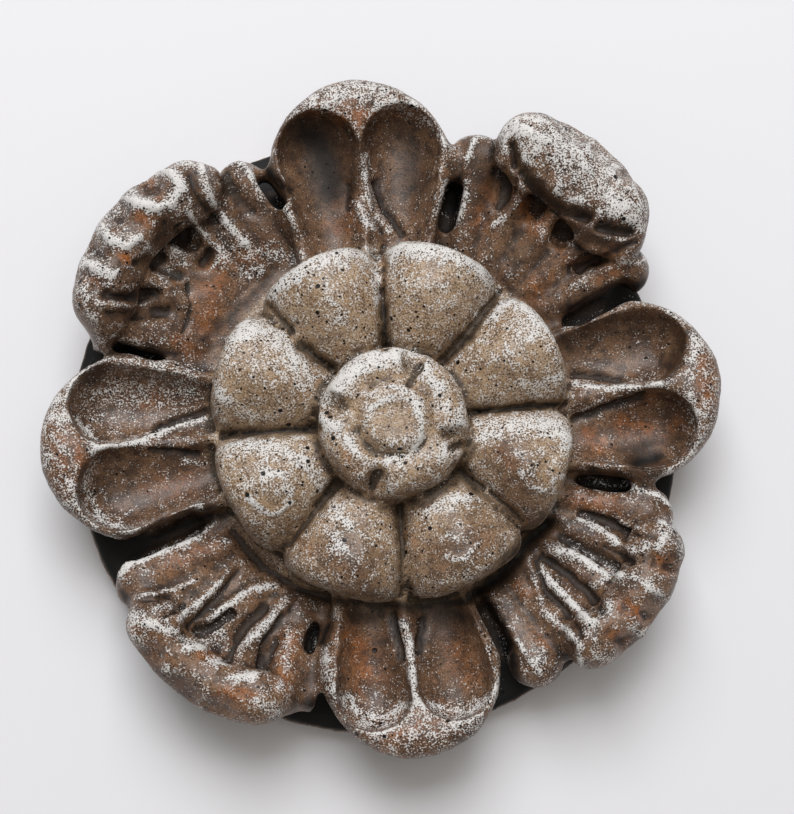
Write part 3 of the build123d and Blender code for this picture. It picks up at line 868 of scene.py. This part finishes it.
def castCement():
    # cast cement under brown stain: satin where the stain is bare, and chalky and speckled where white was
    # brushed on;
    # white painted highlight on slopes that face north, and black paint and painted shade in its hollows and
    # creases
    material = bpy.data.materials.new("cast_cement_dry_brushed_painted_light")
    material.use_nodes = True
    tree = material.node_tree
    tree.nodes.clear()
    soft = {"interpolation_type": "SMOOTHSTEP"}
    blend = {"output": 2, "data_type": "RGBA"}
    place = addNode(tree, "TexCoord", {}, "Object")
    normal = addNode(tree, "NewGeometry", {}, "Normal")
    share = {"north": addNode(tree, "SeparateXYZ", {0: normal}, "Y")}
    for name in ("fineHollow", "broadHollow", "open", "tan", "white", "rust", "blackAndShade"):
        share[name] = addNode(tree, "Attribute", {}, "Fac", attribute_name=name)
    for name, (size, detail) in cement["noises"].items():
        pattern = {"Vector": place, "Scale": 1 / (size * mm), "Detail": detail}
        pattern["Roughness"] = cement["noiseRoughness"]
        share[name] = addNode(tree, "TexNoise", pattern)
    for name, (source, limits) in cement["eased"].items():
        share[name] = addNode(tree, "MapRange", {0: share[source], **limits}, **soft)

    # stain: brown over the leaves, tan over the flower, in soft patches with finer mottling
    stains = []
    for name in ("brown", "tan"):
        patched = {0: share["paler"], 6: srgb(cement[name]), 7: srgb(cement[name + "Light"])}
        patched = addNode(tree, "Mix", patched, **blend)
        mottled = {0: share["darker"], 6: patched, 7: srgb(cement[name + "Dark"])}
        stains.append(addNode(tree, "Mix", mottled, **blend))
    colour = addNode(tree, "Mix", {0: share["tan"], 6: stains[0], 7: stains[1]}, **blend)
    rust = addNode(tree, "Math", {0: share["rust"], 1: share["rusty"]}, operation="MULTIPLY")

    # painted shade: black where little sky is seen and in creases, and where the black strokes lie, which are
    # partly black paint and partly painted shade
    shadeAndBlackPaint = share["blackAndShade"]
    for name in ("deep", "crease"):
        shadeAndBlackPaint = addNode(tree, "Math", {0: shadeAndBlackPaint, 1: share[name]}, operation="MAXIMUM")

    # white: dry brush, dense along the strokes and thin on other crests, and painted highlight, thin on
    # slopes that face north toward the light and in some of the strokes
    wear = {0: share["tan"], 1: cement["flowerWear"], 2: cement["wear"]}
    wear = addNode(tree, "Math", wear, operation="MULTIPLY_ADD")
    for name in ("crest", "bulge", "lit"):
        wear = addNode(tree, "Math", {0: wear, 1: share[name]}, operation="ADD")
    clean = addNode(tree, "MapRange", {0: shadeAndBlackPaint, **cement["clean"]}, **soft)
    cover = addNode(tree, "Math", {0: wear, 1: clean}, operation="MULTIPLY")
    for name, gain in cement["brushGains"].items():
        cover = addNode(tree, "Math", {0: share[name], 1: gain, 2: cover}, operation="MULTIPLY_ADD")
    share["brushedAndHighlight"] = addNode(tree, "MapRange", {0: cover, **cement["brushedAndHighlight"]}, **soft)

    # air holes: one cell in a few holds a round black hole
    common = addNode(tree, "Math", {0: share["tan"], 1: share["white"]}, operation="MAXIMUM")
    rarity = addNode(tree, "MapRange", {0: common, **cement["airHoleRarity"]})
    holes = 0.0
    for spacing, radius in cement["airHoles"]:
        cells = {"Vector": place, "Scale": 1 / (spacing * mm), "Randomness": cement["airHoleScatter"]}
        away = addNode(tree, "TexVoronoi", cells, "Distance")
        chance = addNode(tree, "SeparateColor", {0: addNode(tree, "TexVoronoi", cells, "Color")})
        chosen = addNode(tree, "Math", {0: chance, 1: rarity}, operation="GREATER_THAN")
        rim = radius / spacing
        depth = addNode(tree, "MapRange", {0: away, 1: rim, 2: cement["airHoleFloor"] * rim}, **soft)
        depth = addNode(tree, "Math", {0: depth, 1: chosen}, operation="MULTIPLY")
        holes = addNode(tree, "Math", {0: holes, 1: depth}, operation="MAXIMUM")
    share["holes"] = holes

    # over the stain, lowest first: rust, dark grains between the specks, black paint and painted shade, white
    # dry brush and painted highlight, and the holes
    layers = (
        (rust, "rust"),
        (share["grains"], "brownDark"),
        (shadeAndBlackPaint, "blackAndShade"),
        (share["brushedAndHighlight"], "brushAndHighlight"),
        (holes, "blackAndShade"),
    )
    for amount, name in layers:
        colour = addNode(tree, "Mix", {0: amount, 6: colour, 7: srgb(cement[name])}, **blend)

    # relief: sandy grain, the thickness of the white, painted highlight included, and the holes
    height = 0.0
    for name, depth in cement["relief"].items():
        height = addNode(tree, "Math", {0: share[name], 1: depth, 2: height}, operation="MULTIPLY_ADD")
    bump = addNode(tree, "Bump", {"Strength": 1.0, "Distance": mm, "Height": height})
    dull = addNode(tree, "Math", {0: share["brushedAndHighlight"], 1: shadeAndBlackPaint}, operation="MAXIMUM")
    rough = addNode(tree, "MapRange", {0: dull, **cement["roughness"]})
    surface = {"Base Color": colour, "Roughness": rough, "Normal": bump, "IOR": cement["ior"]}
    surface["Specular IOR Level"] = cement["specular"]
    addNode(tree, "OutputMaterial", {"Surface": addNode(tree, "BsdfPrincipled", surface)})
    return material


def addCamera():
    # the camera that took the photograph, as its pixels place it
    right, up, back = pictureAxes()
    camera = bpy.data.objects.new("camera", bpy.data.cameras.new("camera"))
    bpy.context.scene.collection.objects.link(camera)
    turn = Matrix((right, up, back)).transposed().to_4x4()
    camera.matrix_world = Matrix.Translation(back * view["distance"]) @ turn
    width, height = view["picture"]
    across, down = view["middlePixel"]
    camera.data.sensor_width = view["sensor"]
    camera.data.lens = view["sensor"] * view["distance"] / view["boardScale"] / height
    camera.data.shift_x = (width / 2 - across) / height
    camera.data.shift_y = (down - height / 2) / height
    camera.data.clip_start = view["nearest"]
    bpy.context.scene.camera = camera


board = {"size": 1.5, "colour": "EDEDEF", "roughness": 0.7}


def addBoard():
    # the pale board that the rosette lies on
    mesh = bpy.data.meshes.new("board")
    bm = bmesh.new()
    bmesh.ops.create_grid(bm, x_segments=1, y_segments=1, size=board["size"])
    bm.to_mesh(mesh)
    bm.free()
    ground = bpy.data.objects.new("board", mesh)
    bpy.context.scene.collection.objects.link(ground)
    material = bpy.data.materials.new("white_board")
    material.use_nodes = True
    shader = material.node_tree.nodes["Principled BSDF"]
    shader.inputs["Base Color"].default_value = srgb(board["colour"])
    shader.inputs["Roughness"].default_value = board["roughness"]
    mesh.materials.append(material)


# Soft square lights that look at the rosette, in metres, degrees and watts. Azimuth 90 is above the picture.
lights = {
    "window": {
        "azimuth": 94,
        "elevation": 56,
        "distance": 1.8,
        "size": 1.2,
        "power": 28.0,
        "colour": "FAFBFF",
    },
    "ceiling": {
        "azimuth": 60,
        "elevation": 80,
        "distance": 1.8,
        "size": 1.4,
        "power": 6.0,
        "colour": "FFFCF6",
    },
}
room = {"colour": "F4EEE8", "strength": 0.24}


def addLights():
    for name, light in lights.items():
        lamp = bpy.data.lights.new(name, "AREA")
        lamp.size = light["size"]
        lamp.energy = light["power"]
        lamp.color = srgb(light["colour"])[:3]
        holder = bpy.data.objects.new(name, lamp)
        bpy.context.scene.collection.objects.link(holder)
        turn, lift = radians(light["azimuth"]), radians(light["elevation"])
        toLight = Vector((cos(turn) * cos(lift), sin(turn) * cos(lift), sin(lift)))
        holder.location = toLight * light["distance"]
        holder.rotation_euler = toLight.to_track_quat("Z", "Y").to_euler()
    world = bpy.data.worlds.new("room")
    world.use_nodes = True
    background = world.node_tree.nodes["Background"]
    background.inputs["Color"].default_value = srgb(room["colour"])
    background.inputs["Strength"].default_value = room["strength"]
    bpy.context.scene.world = world
    bpy.context.scene.view_settings.view_transform = "Standard"


rosette = copyOfNode("rosette")
print("skin", len(rosette.data.polygons), "faces")
rosetteSkin = Skin(rosette.data)
flower, wobble = carve(rosetteSkin)
print("carved")
keepPaintMaps(rosetteSkin, flower, wobble)
rosette.data.materials.clear()
rosette.data.materials.append(castCement())
print("painted")
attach(rosette, "root")
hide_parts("rosette")
addBoard()
addCamera()
addLights()
print("stage set")
